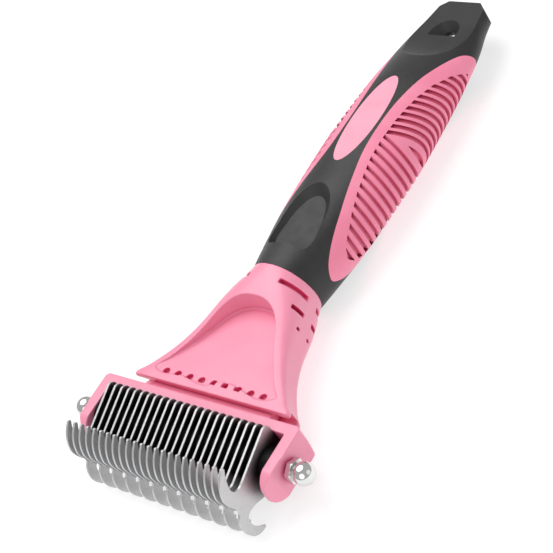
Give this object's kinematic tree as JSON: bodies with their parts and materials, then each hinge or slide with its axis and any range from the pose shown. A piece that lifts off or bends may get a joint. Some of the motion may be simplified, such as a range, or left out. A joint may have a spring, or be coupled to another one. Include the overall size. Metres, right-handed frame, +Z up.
{
  "type": "undercoat rake",
  "caption": "Two-sided pet undercoat rake: a row of hooked steel plates on a cross axle in a yoke, on a bell-shaped neck and an oval handle with ribbed side grips.",
  "frame": {"origin": "middle of the box the rake fills, on the surface it lies on", "axes": "+Z up from the surface; +Y from the toothed head along the handle to the tail; X across the head, along the axle"},
  "size_m": [0.1034, 0.2034, 0.0288],
  "materials": {
    "blade_steel": "satin stamped stainless plate",
    "rod_steel": "turned steel",
    "nut_chrome": "polished chrome",
    "black_spacer": "smooth black moulding",
    "pink_plastic": "soft satin pink moulding",
    "pink_grip": "soft pink grip",
    "pink_inlay": "matte pink inlay",
    "grey_pad": "fine-grained dark grey pad",
    "black_handle": "matte black moulding"
  },
  "bodies": {
    "tool": {"axle_rod": "rod_steel", "blade_double_01": "blade_steel", "blade_double_02": "blade_steel", "blade_double_03": "blade_steel", "blade_double_04": "blade_steel", "blade_double_05": "blade_steel", "blade_double_06": "blade_steel", "blade_double_07": "blade_steel", "blade_double_08": "blade_steel", "blade_double_09": "blade_steel", "blade_double_10": "blade_steel", "blade_double_11": "blade_steel", "blade_double_12": "blade_steel", "blade_single_01": "blade_steel", "blade_single_02": "blade_steel", "blade_single_03": "blade_steel", "blade_single_04": "blade_steel", "blade_single_05": "blade_steel", "blade_single_06": "blade_steel", "blade_single_07": "blade_steel", "blade_single_08": "blade_steel", "blade_single_09": "blade_steel", "blade_single_10": "blade_steel", "blade_single_11": "blade_steel", "blade_spacers": "black_spacer", "end_bush_left": "black_spacer", "end_bush_right": "black_spacer", "handle_body": "black_handle", "head_yoke": "pink_plastic", "neck": "pink_plastic", "oval_inlay_bottom": "pink_inlay", "oval_inlay_top": "pink_inlay", "side_grip_left": "pink_grip", "side_grip_right": "pink_grip", "thumb_pad_bottom": "grey_pad", "thumb_pad_top": "grey_pad"},
    "nut_right": {"ball_nut_right": "nut_chrome"},
    "nut_left": {"ball_nut_left": "nut_chrome"}
  },
  "joints": [
    {"name": "nut_right_turn", "type": "hinge", "parent": "tool", "child": "nut_right", "pos_m": [0, -0.08124, 0.0131], "axis": [1, 0, 0], "continuous": true},
    {"name": "nut_left_turn", "type": "hinge", "parent": "tool", "child": "nut_left", "pos_m": [0, -0.08124, 0.0131], "axis": [-1, 0, 0], "continuous": true}
  ]
}
